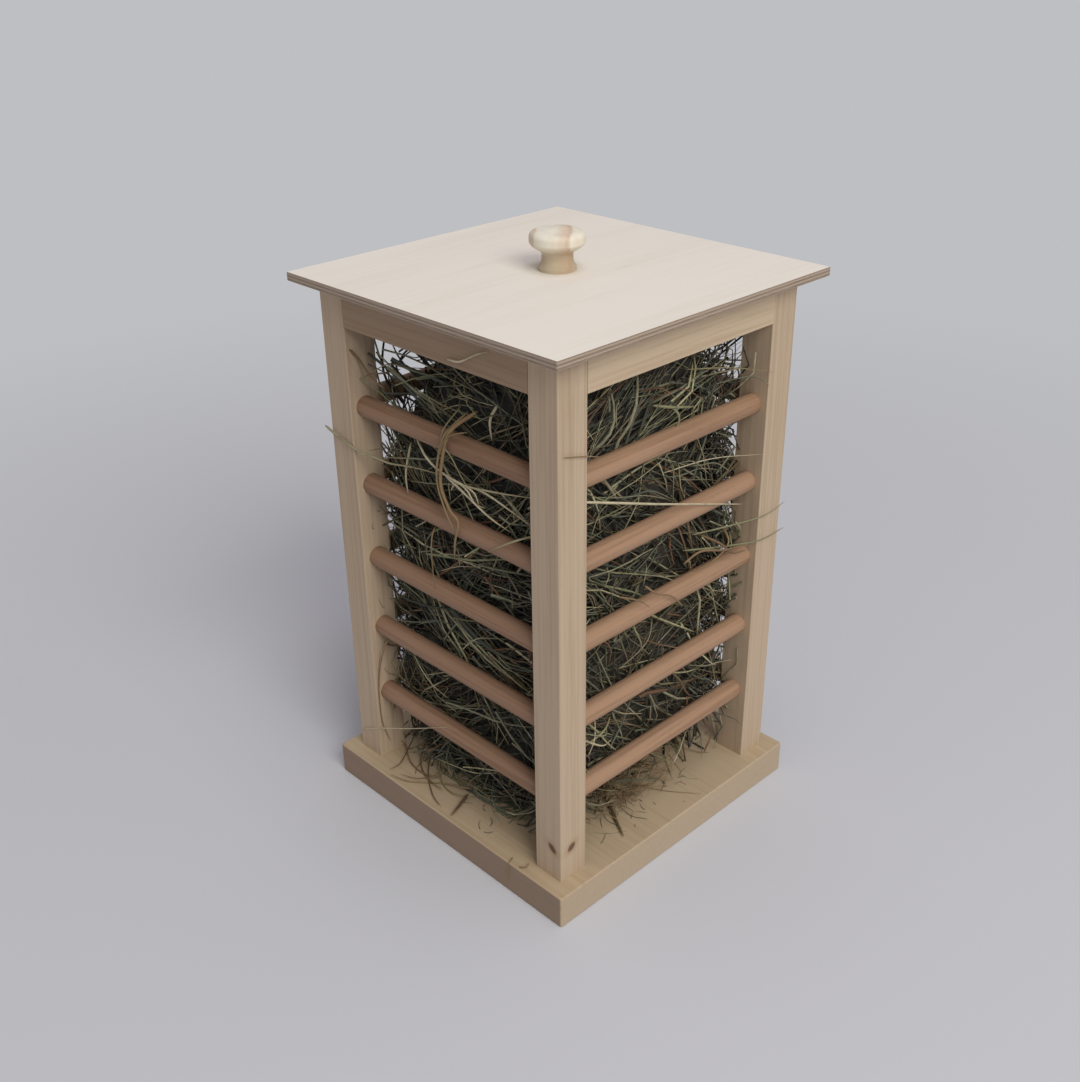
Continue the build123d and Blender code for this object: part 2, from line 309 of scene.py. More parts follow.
post_wood = make_wood("post_pine", "Z", *post_tones, post_heart)
marked_post_wood = make_wood("post_pine_knots", "Z", *post_tones, post_heart, extra=knot_marks)
# The front and back rails are a somewhat darker pine, and are painted darker still as painted shade under
# the lid's overhang.
front_rail_wood_and_painted_shade = make_wood("rail_pine_long", "X", (160, 136, 111), (134, 109, 85), rail_heart)
side_rail_wood = make_wood("rail_pine_cross", "Y", (197, 176, 149), (166, 141, 114), rail_heart)
batten_wood = make_wood("batten_pine", "X", (184, 160, 134), (154, 128, 102), (0.0, 0.02, -0.38))
# Painted shade: the front and back rungs are painted darker than the side rungs, as the shade on the
# feeder's front side.
rung_wood_long_painted_shade = make_wood("rung_beech_long", "X", (151, 119, 95), (124, 92, 69), **beech_grain)
rung_wood_cross = make_wood("rung_beech_cross", "Y", (166, 133, 106), (138, 104, 79), **beech_grain)
base_wood = make_wood("base_pine", "X", (182, 162, 133), (160, 137, 106), (0.0, 0.03, 0.06),
                      ring_width=0.006, ring_depth=0.22, streak_depth=0.26, pore_depth=0.06,
                      waviness=0.012, extra=base_ends_and_painted_side_shade)
lid_wood = make_wood("lid_birch_ply", "Y", (233, 226, 214), (212, 199, 183), (0.0, 0.02, -0.35),
                     ring_width=0.019, ring_depth=0.1, streak_depth=0.1, pore_depth=0.12,
                     waviness=0.06, extra=ply_edge)
knob_wood = make_wood("knob_pine", "Z", (230, 224, 207), (190, 150, 116), (0.0, 0.0437, -0.0426),
                      ring_width=0.024, ring_depth=0.65, streak_depth=0.1, pore_depth=0.06, extra=knob_shank_painted_shade)


def make_steel():
    """Zinc plated screw steel, faintly mottled."""
    material, tree, shader, here = start_material("screw_steel")
    mottle = speckle(tree, here["Object"], 900.0, 3.0)
    colour = blend_colours(tree, mottle, tone(186, 184, 176), tone(150, 148, 142))
    tree.links.new(colour, shader.inputs["Base Color"])
    tree.links.new(spread(tree, mottle, 0.3, 0.7, 0.28, 0.42), shader.inputs["Roughness"])
    shader.inputs["Metallic"].default_value = 1.0
    return material


screw_steel = make_steel()


def finish_nodes():
    """Gives wooden and steel pieces their materials, by how their names start. A later row overrules."""
    finishes = (("base_board", base_wood), ("base_screws", screw_steel), ("batten_screws", screw_steel),
                ("knob", knob_wood), ("knob_screw", screw_steel), ("lid_batten", batten_wood),
                ("lid_board", lid_wood), ("post", post_wood), ("post_front_right", marked_post_wood),
                ("rail_dowels", rung_wood_long_painted_shade), ("rung", rung_wood_cross), ("rung_front", rung_wood_long_painted_shade),
                ("rung_back", rung_wood_long_painted_shade), ("top_rail", side_rail_wood),
                ("top_rail_front", front_rail_wood_and_painted_shade), ("top_rail_back", front_rail_wood_and_painted_shade))
    for name, piece in nodes.items():
        for start, finish in finishes:
            if name.startswith(start):
                piece.data.materials.clear()
                piece.data.materials.append(finish)


finish_nodes()


# ---------------------------------------------------------------- hay finishes

def make_right_side_light():
    """Painted light: how much the heap is paled at a place, towards its lit right side, most of all low
    down.
    """
    group, inn, out = new_group("dry_side", "ShaderNodeTree", [("Vector", "NodeSocketVector", None)],
                                [("Dryness", "NodeSocketFloat")])
    place = parts_of(group, inn.outputs["Vector"])
    right = spread(group, place[0], 55 * MM, 84 * MM)
    low_down = spread(group, place[2], 0.1, 0.3, 0.08, 0.035)
    group.links.new(maths(group, "MULTIPLY", right, low_down), out.inputs["Dryness"])
    return group


dry_side = make_right_side_light()


def paint_right_side_light(tree, here, colour):
    """Paints light on a hay colour: pales it towards the heap's lit right side."""
    painted_light = output(tree, "ShaderNodeGroup", {"Vector": here["Object"]}, node_tree=dry_side)
    return blend_colours(tree, painted_light, colour, tone(156, 134, 104))


def make_hay_material(name, shades, spotting=0.45):
    """Dried grass. Each stalk's own shade comes from its attribute, its tip is straw coloured, and painted
    light pales it on the heap's right side.
    """
    material, tree, shader, here = start_material(name)
    shade = add(tree, "ShaderNodeAttribute", attribute_name="shade")
    along = add(tree, "ShaderNodeAttribute", attribute_name="along")
    ramp = add(tree, "ShaderNodeValToRGB", {0: shade.outputs["Fac"]})
    while len(ramp.color_ramp.elements) < len(shades):
        ramp.color_ramp.elements.new(0.5)
    for entry, (place, colour) in zip(ramp.color_ramp.elements, shades):
        entry.position = place
        entry.color = tone(*colour)
    spots = spread(tree, speckle(tree, here["Object"], 160.0, 3.0), 0.42, 0.7, 0.0, spotting)
    tip = spread(tree, along.outputs["Fac"], 0.55, 1.0, 0.0, 0.4)
    colour = blend_colours(tree, spots, ramp.outputs[0], tone(74, 62, 42))
    # painted light: paled on the heap's right side
    colour = paint_right_side_light(tree, here, blend_colours(tree, tip, colour, tone(150, 130, 92)))
    tree.links.new(colour, shader.inputs["Base Color"])
    fibre = speckle(tree, here["Object"], 1200.0, 2.0)
    tree.links.new(spread(tree, fibre, 0.3, 0.7, 0.62, 0.77), shader.inputs["Roughness"])
    roughen(tree, shader, fibre, 0.3, 0.2 * MM)
    shader.inputs["Specular IOR Level"].default_value = 0.35
    return material


hay_outer_finish = make_hay_material("hay_stalks_straw", (
    (0.0, (104, 84, 60)), (0.2, (108, 112, 82)), (0.5, (142, 146, 108)), (0.8, (184, 178, 140)),
    (1.0, (206, 198, 162))))
hay_middle_finish = make_hay_material("hay_stalks_green", (
    (0.0, (60, 65, 60)), (0.35, (90, 97, 84)), (0.65, (126, 128, 105)), (0.84, (160, 154, 126)),
    (0.9, (126, 90, 66)), (1.0, (112, 82, 62))))
# Painted shade: the stalks deep in the heap and in its corners are painted darker, as the shade there.
hay_inner_shade_finish = make_hay_material("hay_stalks_dark", (
    (0.0, (38, 41, 41)), (0.4, (58, 62, 59)), (0.75, (82, 85, 75)), (1.0, (80, 66, 56))))
hay_dry_finish = make_hay_material("hay_stalks_dry", (
    (0.0, (84, 62, 42)), (0.15, (146, 119, 86)), (0.4, (130, 130, 98)), (0.7, (164, 155, 122)),
    (1.0, (212, 200, 170))), spotting=0.25)


def make_core_material():
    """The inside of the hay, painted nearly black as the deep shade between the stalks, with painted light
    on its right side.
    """
    material, tree, shader, here = start_material("hay_core_dark")
    drawn = vectors(tree, "MULTIPLY", here["Object"], (1.0, 1.0, 0.35))
    strands = speckle(tree, drawn, 420.0, 4.0)
    clumps = spread(tree, speckle(tree, here["Object"], 60.0, 2.0), 0.4, 0.7, 0.0, 0.5)
    # painted shade: near black, as the shade deep in the heap
    colour = blend_colours(tree, strands, tone(32, 34, 34), tone(58, 60, 54))
    colour = paint_right_side_light(tree, here, blend_colours(tree, clumps, colour, tone(46, 38, 32)))
    tree.links.new(colour, shader.inputs["Base Color"])
    tree.links.new(spread(tree, strands, 0.2, 0.8, 0.8, 0.95), shader.inputs["Roughness"])
    roughen(tree, shader, strands, 0.8, 2 * MM)
    return material


hay_core_shade_finish = make_core_material()


# ---------------------------------------------------------------- the heap of hay

# The heap's form: flat on top, sloping away to the left and right corners, and drawn in at its foot
hay_high = batten_low - 4 * MM  # the layers of stalks reach no higher
hay_crest = hay_high - 5 * MM
flat_left = 55 * MM  # how far the flat top goes from the middle before it slopes away
flat_right = 78 * MM
hay_fall = 70 / 45  # steepness of the slopes
edge_drop = 12 * MM  # how much lower the top is beside the posts than in the middle
foot_rise = 70 * MM  # the height above the base board at which the heap has its full width
foot_share = 0.86  # the foot's share of that width
right_draw = 0.3  # how much more the foot draws in on the right side
lump_scale = 38  # lumps to a metre


def hay_top(x, y):
    """How high the hay reaches over a point."""
    lean = (x + y) / math.sqrt(2)
    beyond = max(-lean - flat_left, lean - flat_right, 0.0)
    edge = max(abs(x), abs(y)) / post_inner
    return hay_crest - hay_fall * beyond - edge_drop * edge ** 3


def hay_reach(height, narrowest):
    """The share of its full width that the hay has at a height."""
    up = held((height - base_top) / foot_rise, 0.0, 1.0)
    return narrowest + (1 - narrowest) * math.sin(up * math.pi / 2)


def make_hay_shell(name, half_width, lumps, seed, foot_square, top_square):
    """A lumpy closed skin, for the core and as the ground that stalks lie on.

    Its plan is a rounded square. foot_square and top_square say how square it is at foot and top.
    """
    around = 72
    levels = 44
    top_rings = 8
    mesh = bmesh.new()
    rows = []
    for level in range(levels + 1):
        share = level / levels
        squareness = foot_square + (top_square - foot_square) * share
        row = []
        for step in range(around):
            angle = 2 * math.pi * step / around
            cosine = math.cos(angle)
            sine = math.sin(angle)
            corner = (abs(cosine) ** squareness + abs(sine) ** squareness) ** (-1 / squareness)
            x = half_width * corner * cosine
            y = half_width * corner * sine
            z = base_top + share * (hay_top(x, y) - base_top)
            x *= hay_reach(z, foot_share - right_draw * held(1.5 * cosine, 0.0, 1.0))
            y *= hay_reach(z, foot_share)
            swell = lumps * noise.noise(Vector((x * lump_scale, y * lump_scale, z * lump_scale + seed)))
            row.append(mesh.verts.new(Vector((x, y, z)) + Vector((cosine, sine, 0)) * swell))
        rows.append(row)
    for ring in range(1, top_rings + 1):
        shrink = 1 - ring / (top_rings + 1)
        row = []
        for vert in rows[levels]:
            x = vert.co.x * shrink
            y = vert.co.y * shrink
            lump = lumps * noise.noise(Vector((x * lump_scale, y * lump_scale, seed)))
            row.append(mesh.verts.new((x, y, hay_top(x, y) + lump - lumps)))
        rows.append(row)
    for lower, upper in zip(rows, rows[1:]):
        for step in range(around):
            after = (step + 1) % around
            mesh.faces.new((lower[step], lower[after], upper[after], upper[step]))
    mesh.faces.new(rows[-1])
    mesh.faces.new(list(reversed(rows[0])))
    data = bpy.data.meshes.new(name)
    mesh.to_mesh(data)
    mesh.free()
    return new_object(name, data)


# ---------------------------------------------------------------- layers of stalks

def make_stalk_tree():
    """Geometry Nodes: bent, tapered stalks laid over a surface and kept inside the cage."""
    sizes = (("Density", 9000.0), ("Length Least", 0.04), ("Length Most", 0.13), ("Thickness", 0.001),
             ("Flatness", 0.6), ("Spin", 0.5), ("Swath", 0.8), ("Swath Scale", 16.0), ("Splay", 0.14),
             ("Bend", 0.012), ("Depth", 0.005), ("Half Width", post_inner + 4.5 * MM), ("Bulge", 0.0),
             ("Post Gap", post_inner - 0.7 * MM), ("Low", base_top + 1 * MM), ("High", hay_high),
             ("First Rung", first_rung), ("Rung Pitch", rung_pitch))
    tree, inn, out = new_group(
        "hay_stalks", "GeometryNodeTree",
        [("Geometry", "NodeSocketGeometry", None),
         *((label, "NodeSocketFloat", size) for label, size in sizes),
         ("Seed", "NodeSocketInt", 1), ("Finish", "NodeSocketMaterial", None)],
        [("Geometry", "NodeSocketGeometry")])
    given = inn.outputs
    seed_step = 0

    def chance(low, high, kind="FLOAT"):
        """A random value for each stalk, with its own seed."""
        nonlocal seed_step
        seed_step += 17
        own = maths(tree, "ADD", given["Seed"], float(seed_step))
        first, result = {"FLOAT": (2, 1), "FLOAT_VECTOR": (0, 0)}[kind]
        pick = add(tree, "FunctionNodeRandomValue", {first: low, first + 1: high, "Seed": own},
                   data_type=kind)
        return pick.outputs[result]

    def either_way(label):
        """A random value between an input's two signs."""
        return chance(maths(tree, "MULTIPLY", given[label], -1.0), given[label])

    def turn_more(start, angles):
        """Turns each stalk further, about its own axes."""
        turn = output(tree, "FunctionNodeEulerToRotation", {0: angles})
        return output(tree, "FunctionNodeRotateRotation", {0: start, 1: turn}, rotation_space="LOCAL")

    def keep(stalks, label, value, kind="FLOAT", domain="INSTANCE"):
        """Stores a value with each stalk or point, and returns the stalks."""
        return output(tree, "GeometryNodeStoreNamedAttribute",
                      {"Geometry": stalks, "Name": label, "Value": value}, data_type=kind, domain=domain)

    def recall(label, kind="FLOAT"):
        """The stored value of a stalk."""
        return output(tree, "GeometryNodeInputNamedAttribute", {"Name": label}, data_type=kind)

    # Points over the ground, each turned to lie level along it, then combed in swaths
    scatter = add(tree, "GeometryNodeDistributePointsOnFaces",
                  {"Mesh": given["Geometry"], "Density": given["Density"], "Seed": given["Seed"]})
    normal = scatter.outputs["Normal"]
    facing = output(tree, "FunctionNodeAlignRotationToVector", {"Vector": normal}, axis="Z")
    level = vectors(tree, "CROSS_PRODUCT", (0.0, 0.0, 1.0), normal)
    laid = output(tree, "FunctionNodeAlignRotationToVector", {"Rotation": facing, "Vector": level},
                  axis="X", pivot_axis="Z")
    combed = output(tree, "ShaderNodeTexNoise", {"Scale": given["Swath Scale"], "Detail": 0.0})
    swath = maths(tree, "MULTIPLY", spread(tree, combed, 0.36, 0.64, -1.0, 1.0), given["Swath"])
    spin = output(tree, "ShaderNodeCombineXYZ", {2: maths(tree, "ADD", either_way("Spin"), swath)})
    splay = output(tree, "ShaderNodeCombineXYZ", {1: either_way("Splay")})
    raised = turn_more(turn_more(laid, spin), splay)

    # A stick at each point, and the values that shape it
    stick = output(tree, "GeometryNodeCurvePrimitiveLine",
                   {"Start": (-0.5, 0.0, 0.0), "End": (0.5, 0.0, 0.0)})
    stick = output(tree, "GeometryNodeResampleCurve", {"Curve": stick, "Count": 8})
    stalks = output(tree, "GeometryNodeInstanceOnPoints",
                    {"Points": scatter.outputs["Points"], "Instance": stick, "Rotation": raised,
                     "Scale": chance(given["Length Least"], given["Length Most"])})
    sink = scaled(tree, normal, either_way("Depth"))
    bow = scaled(tree, chance((-1.0, -1.0, -1.0), (1.0, 1.0, 1.0), "FLOAT_VECTOR"), given["Bend"])
    stalks = keep(stalks, "shade", chance(0.0, 1.0))
    stalks = keep(stalks, "stout", chance(0.5, 1.25))
    stalks = keep(stalks, "lie", sink, "FLOAT_VECTOR")
    stalks = keep(stalks, "bow", bow, "FLOAT_VECTOR")
    stalks = keep(stalks, "roll", chance(0.0, 3.14))
    stalks = output(tree, "GeometryNodeRealizeInstances", {0: stalks})

    # Each stick bows, ripples and lies a little in or out of the ground
    along = output(tree, "GeometryNodeSplineParameter")
    off_centre = maths(tree, "SUBTRACT", maths(tree, "MULTIPLY", along, 2.0), 1.0)
    arch = maths(tree, "SUBTRACT", 0.6, maths(tree, "MULTIPLY", off_centre, off_centre))
    bowed = scaled(tree, recall("bow", "FLOAT_VECTOR"), arch)
    ripple = add(tree, "ShaderNodeTexNoise",
                 {"Vector": output(tree, "GeometryNodeInputPosition"),
                  "W": maths(tree, "MULTIPLY", recall("shade"), 40.0), "Scale": 24.0, "Detail": 1.0},
                 noise_dimensions="4D")
    centred = vectors(tree, "SUBTRACT", ripple.outputs["Color"], (0.5, 0.5, 0.5))
    rippled = scaled(tree, centred, maths(tree, "MULTIPLY", given["Bend"], 0.8))
    shift = vectors(tree, "ADD", vectors(tree, "ADD", bowed, rippled), recall("lie", "FLOAT_VECTOR"))
    stalks = output(tree, "GeometryNodeSetPosition", {"Geometry": stalks, "Offset": shift})

    # The stalks stay behind the rungs, and bulge out between them away from the posts
    spot = parts_of(tree, output(tree, "GeometryNodeInputPosition"))
    across = maths(tree, "ABSOLUTE", spot[0])
    deep = maths(tree, "ABSOLUTE", spot[1])
    height = maths(tree, "MINIMUM", given["High"], maths(tree, "MAXIMUM", given["Low"], spot[2]))
    from_rung = maths(tree, "PINGPONG", maths(tree, "SUBTRACT", height, given["First Rung"]),
                      maths(tree, "MULTIPLY", given["Rung Pitch"], 0.5))
    between = spread(tree, from_rung, 8 * MM, 19 * MM)
    wall = maths(tree, "ADD", given["Half Width"], maths(tree, "MULTIPLY", given["Bulge"], between))
    kept_in = []
    for own, other, value in ((across, deep, spot[0]), (deep, across, spot[1])):
        lesser = maths(tree, "LESS_THAN", own, other)
        beside_post = maths(tree, "MULTIPLY", lesser, maths(tree, "SUBTRACT", wall, given["Post Gap"]))
        limit = maths(tree, "SUBTRACT", wall, maths(tree, "MAXIMUM", beside_post, 0.0))
        sign = maths(tree, "SIGN", value)
        kept_in.append(maths(tree, "MULTIPLY", sign, maths(tree, "MINIMUM", own, limit)))
    inside = output(tree, "ShaderNodeCombineXYZ", {0: kept_in[0], 1: kept_in[1], 2: height})
    stalks = output(tree, "GeometryNodeSetPosition", {"Geometry": stalks, "Position": inside})

    # Each stick becomes a flattened tube that tapers to its tip
    stalks = keep(stalks, "along", along, domain="POINT")
    taper = spread(tree, along, 0.3, 1.0, 1.0, 0.35)
    radius = maths(tree, "MULTIPLY", maths(tree, "MULTIPLY", given["Thickness"], recall("stout")), taper)
    stalks = output(tree, "GeometryNodeSetCurveTilt", {"Curve": stalks, "Tilt": recall("roll")})
    ring = output(tree, "GeometryNodeCurvePrimitiveCircle", {"Resolution": 3, "Radius": 1.0})
    pressed = output(tree, "ShaderNodeCombineXYZ", {0: 1.0, 1: given["Flatness"], 2: 1.0})
    ring = output(tree, "GeometryNodeTransform", {"Geometry": ring, "Scale": pressed})
    stalks = output(tree, "GeometryNodeCurveToMesh",
                    {"Curve": stalks, "Profile Curve": ring, "Scale": radius, "Fill Caps": True})
    stalks = output(tree, "GeometryNodeRealizeInstances", {0: stalks})
    stalks = output(tree, "GeometryNodeSetMaterial", {"Geometry": stalks, "Material": given["Finish"]})
    tree.links.new(stalks, out.inputs[0])
    return tree


stalk_tree = make_stalk_tree()


def lay_stalks(name, ground, **inputs):
    """Runs the stalk tree over a ground surface and keeps the result as one plain mesh."""
    worker = new_object(name + "_worker", ground.data)
    modifier = worker.modifiers.new("stalks", "NODES")
    modifier.node_group = stalk_tree
    for entry in stalk_tree.interface.items_tree:
        label = entry.name.replace(" ", "_").lower()
        if entry.in_out == "INPUT" and label in inputs:
            modifier[entry.identifier] = inputs[label]
    graph = bpy.context.evaluated_depsgraph_get()
    grown = worker.evaluated_get(graph)
    data = bpy.data.meshes.new_from_object(grown, preserve_all_data_layers=True, depsgraph=graph)
    worker.modifiers.remove(modifier)
    bpy.data.objects.remove(worker)
    data.name = name
    return new_object(name, data)


def lay_layer(name, half_width, seed, foot_square, top_square, **inputs):
    """One layer of stalks on its own lumpy ground."""
    ground = make_hay_shell(name + "_ground", half_width, 5 * MM, seed, foot_square, top_square)
    piece = lay_stalks(name, ground, seed=seed, **inputs)
    bpy.data.objects.remove(ground)
    return piece


def smooth(piece):
    """Shades a piece's faces as one smooth surface."""
    for face in piece.data.polygons:
        face.use_smooth = True


hay_core = make_hay_shell("hay_core", 84 * MM, 6 * MM, 3, 8.5, 4.2)
hay_core.data.materials.append(hay_core_shade_finish)
smooth(hay_core)

hay_pieces = [
    hay_core,
    lay_layer("hay_inner_stalks", 85 * MM, 9, 12.0, 5.0, finish=hay_inner_shade_finish, density=9000.0,
              length_least=0.04, length_most=0.13, spin=0.8, swath=0.7, splay=0.12),
    lay_layer("hay_middle_stalks", 87 * MM, 40, 14.0, 7.0, finish=hay_middle_finish, density=6000.0,
              length_least=0.05, length_most=0.16, thickness=0.0011, spin=0.45, swath=0.85, bulge=0.006),
    lay_layer("hay_outer_stalks", 90 * MM, 77, 18.0, 9.0, finish=hay_outer_finish, density=1500.0,
              length_least=0.06, length_most=0.18, bend=0.009, bulge=0.011),
    lay_layer("hay_blades", 89 * MM, 131, 18.0, 9.0, finish=hay_middle_finish, density=520.0,
              length_least=0.05, length_most=0.14, thickness=0.0019, flatness=0.18, splay=0.16, bulge=0.01),
]


# ---------------------------------------------------------------- single stalks

def new_bundle():
    """Gathers the tubes of many single stalks."""
    return {"points": [], "faces": [], "shade": [], "along": []}


def on_curve(before, start, end, after, t):
    """A point on a smooth curve from start, at t 0, to end, at t 1, between before and after."""
    return 0.5 * (2 * start + (end - before) * t + (2 * before - 5 * start + 4 * end - after) * t * t
                  + (3 * start - before - 3 * end + after) * t ** 3)


def grow_stalk(bundle, stops, thick, shade, sides=5, steps=5):
    """Adds one stalk, a little flattened and tapering to its tip, that runs smoothly through its stops."""
    flatness = 0.7
    taper = 0.6
    end_share = 0.35
    stops = [Vector(stop) for stop in stops]
    padded = [stops[0] * 2 - stops[1]] + stops + [stops[-1] * 2 - stops[-2]]
    line = []
    for four in zip(padded, padded[1:], padded[2:], padded[3:]):
        line += [on_curve(*four, step / steps) for step in range(steps)]
    line.append(stops[-1])
    first = len(bundle["points"])
    last = len(line) - 1
    side_way = Vector((0.3, 0.5, 0.8))
    for index, point in enumerate(line):
        ahead = (line[min(index + 1, last)] - line[max(index - 1, 0)]).normalized()
        side_way = (side_way - ahead * side_way.dot(ahead)).normalized()
        up_way = ahead.cross(side_way)
        share = index / last
        radius = thick * (1 - taper * share ** 2)
        if index in (0, last):
            radius *= end_share
        for corner in range(sides):
            angle = 2 * math.pi * corner / sides
            beside = side_way * (radius * math.cos(angle))
            above = up_way * (radius * flatness * math.sin(angle))
            bundle["points"].append(point + beside + above)
            bundle["shade"].append(shade)
            bundle["along"].append(share)
    for index in range(last):
        for corner in range(sides):
            here = first + index * sides + corner
            beside = first + index * sides + (corner + 1) % sides
            bundle["faces"].append((here, beside, beside + sides, here + sides))
    bundle["faces"].append(tuple(first + corner for corner in reversed(range(sides))))
    bundle["faces"].append(tuple(first + last * sides + corner for corner in range(sides)))


def grow_written(bundle, rows):
    """Adds the stalks of a list that gives each one's thickness, shade and stops, in millimetres."""
    for thick, shade, stops in rows:
        grow_stalk(bundle, [Vector(stop) * MM for stop in stops], thick * MM, shade)


def finish_bundle(name, bundle, material):
    """Makes the gathered stalks one mesh with their shade and place along the stalk."""
    data = bpy.data.meshes.new(name)
    data.from_pydata(bundle["points"], [], bundle["faces"])
    for label in ("shade", "along"):
        layer = data.attributes.new(label, "FLOAT", "POINT")
        layer.data.foreach_set("value", bundle[label])
    data.materials.append(material)
    piece = new_object(name, data)
    smooth(piece)
    return piece


def place_known_stalks():
    """The single stalks that catch the eye on the front and right sides, and litter on the base board."""
    bundle = new_bundle()
    front = -111.6  # just outside the front rungs, in millimetres
    gap = -104.0  # in the gaps between them
    right = 111.6  # just outside the right rungs
    known = (
        # brown stems hooked over the two upper front rungs, and what crosses beside them
        (1.4, 0.15, ((24, -97, 352), (13, front, 339), (3, front, 314), (1, front, 296), (9, -112, 282),
                     (17, front, 275), (13, front, 260), (8, -109, 244))),
        (1.0, 0.20, ((16, -98, 350), (9, -112.6, 336), (0, -112.8, 314), (-2, -112, 296), (6, -113, 280),
                     (12, -112, 268))),
        (1.2, 0.12, ((1, -113, 318), (9, -113.4, 332), (16, -112.6, 338), (29, -110.6, 343))),
        (0.8, 0.30, ((8, -96, 352), (4, front, 334), (13, -110, 318), (22, -106, 300), (30, -100, 288))),
        (0.9, 0.97, ((-40, -98, 316), (-20, -106, 309), (-1, -107, 303), (27, -107, 300), (31, -105, 290))),
        (0.9, 0.90, ((-1, -107, 303), (18, -107, 296), (40, -104, 284), (54, -94, 272))),
        (0.9, 0.75, ((-14, -98, 306), (11, -107, 301), (50, gap, 305), (86, -97, 310))),
        (0.8, 0.85, ((6, gap, 298), (35, -106, 302), (60, gap, 296), (84, -96, 283))),
        (0.9, 0.90, ((2, gap, 291), (9, -106, 299), (16, -107, 301), (23, -107, 298), (28, -106, 291),
                     (33, -101, 287))),
        (1.0, 0.66, ((-120, -117.4, 307), (-102, -117, 301.5), (-86, -115.6, 297.5), (-70, -110, 294),
                     (-59, -107, 292.5), (-37, -105, 296), (-4, gap, 300))),
        (0.9, 0.80, ((-46, -98, 310), (-45, -105, 290), (-43, -106, 274))),
        (1.1, 0.90, ((40, -94, 360), (38, -99, 350), (37, -97, 335))),
        (0.9, 0.12, ((-18, -98, 262), (-13, -110.5, 254), (-13, -112, 234), (-15, -109, 210))),
        (0.9, 1.00, ((19, -116.2, 391), (28, -116.5, 391.5), (35, -116.6, 394), (48, -116.6, 401),
                     (58, -116.3, 405))),
        (0.8, 0.72, ((84, -100, 286), (72, -110.8, 281), (58, -112.4, 272), (44, -110.4, 262))),
        (0.9, 0.08, ((-90, -112, 370), (-86, -107, 362), (-76, -106, 352), (-66, -102, 345))),
        (0.7, 0.55, ((-66, -92, 150), (-52, gap, 138), (-32, -106, 122), (-20, -98, 108))),
        (0.6, 0.85, ((-110, -117, 44), (-86, -114.5, 56), (-50, -112.5, 73), (-8, -110.8, 95))),
        (0.6, 0.13, ((-79, -106, 141), (-86, -110, 118), (-88.6, -112.6, 92), (-88.6, -112, 60),
                     (-88, -106, 38))),
        # the long pale stem on the right side, and ends that pass in front of the back right post
        (1.0, 0.90, ((103, -88, 311), (109, -50, 299), (111.5, -18, 288), (112.5, 40, 268), (113, 72, 257))),
        (0.8, 0.45, ((102, 30, 244), (108, 62, 241), (117.5, 93, 242), (120, 114, 247))),
        (0.9, 0.40, ((101, 22, 234), (109, 60, 226), (117.5, 90, 223), (121, 114, 226))),
        (0.5, 0.85, ((98, 0, 300), (108, 40, 301), (117, 88, 292))),
        (0.5, 0.30, ((98, 20, 368), (108, 57, 362), (117, 92, 352))),
        (0.5, 0.15, ((116.5, -112, 353), (116.4, -91, 347), (110, -71, 338))),
        (1.1, 0.45, ((98, -12, 352), (104, 0, 349), (105, 12, 346), (104, 22, 343))),
        (1.0, 0.50, ((102, 0, 350), (105, 5, 344), (105, 7, 338), (103, 6, 331))),
        (1.2, 0.10, ((right, 10, 232), (113, 27, 236), (114, 52, 228), (113, 78, 222))),
        (1.1, 0.06, ((100, 40, 240), (right, 50, 233), (114, 62, 222), (110, 84, 214))),
        (1.0, 0.14, ((100, 66, 238), (right, 60, 230), (right, 44, 222), (100, 30, 212))),
        # a pale tuft in the lowest right opening, and twigs caught on the third right rung
        (1.0, 0.55, ((94, -80, 110), (103, -72, 120), (106, -62, 126), (102, -52, 130))),
        (0.9, 0.80, ((96, -84, 128), (104, -74, 120), (107, -64, 114), (104, -52, 112))),
        (0.9, 0.60, ((94, -72, 134), (103, -67, 126), (107, -60, 114), (108, -52, 104))),
        (0.8, 0.85, ((96, -62, 132), (104, -70, 122), (105, -78, 110))),
        (0.8, 0.50, ((96, -50, 118), (105, -60, 120), (105, -72, 126), (98, -84, 132))),
        (0.9, 0.45, ((97, -26, 200), (105, -32, 195), (106, -27, 184), (104, -22, 171))),
        (0.8, 0.12, ((108, -26, 228), (112.6, -19, 221), (113.2, -4, 213), (112.8, 8, 201), (108, 14, 194))),
        (0.7, 0.10, ((108, -52, 230), (112.8, -44, 227), (113.2, -34, 220.6), (112.4, -25, 212))),
        # litter on the base board
        (2.0, 0.00, ((66, -21, 38), (78, -28, 29.5), (92, -36.5, 28.4), (115, -49.6, 28.2))),
        (0.7, 0.22, ((-2, -96, 32), (-27, -103, 27.4), (-48, -120, 27.2), (-64, -126, 29))),
        (1.8, 0.02, ((-2, -99, 28.6), (3, -113, 28), (7, -124, 27.8))),
        (0.7, 0.90, ((-121, -96, 31), (-112, -88, 27.4), (-96, -72, 27.6), (-80, -60, 29))),
        (0.9, 0.05, ((-70, -86, 34), (-58, -100, 29), (-40, -108, 28), (-18, -110, 29.5))),
        (0.8, 0.02, ((-84, -84, 36), (-76, -100, 30), (-70, -112, 28), (-70, -122, 28))),
        (0.8, 0.04, ((-60, -88, 30), (-44, -104, 28), (-22, -118, 28), (-6, -123, 28.5))),
        (0.7, 0.10, ((-88, -92, 30), (-66, -104, 28), (-46, -106, 28), (-30, -100, 30))),
        (0.7, 0.08, ((-40, -88, 32), (-38, -102, 28.6), (-46, -114, 28), (-60, -120, 28))),
        (0.6, 0.30, ((-52, -86, 34), (-30, -102, 28.5), (-12, -106, 28), (4, -100, 30))),
        (0.7, 0.12, ((84, -126, 27.6), (87, -122, 27.2), (86, -118, 28.5))),
        (0.4, 0.25, ((80, 2, 27), (100, 12, 26.8), (124, 30, 27))),
        (0.6, 0.15, ((73, -122, 27.4), (74, -128.5, 24), (72, -128.6, 8))),
    )
    grow_written(bundle, known)
    return finish_bundle("hay_known_stalks", bundle, hay_dry_finish)


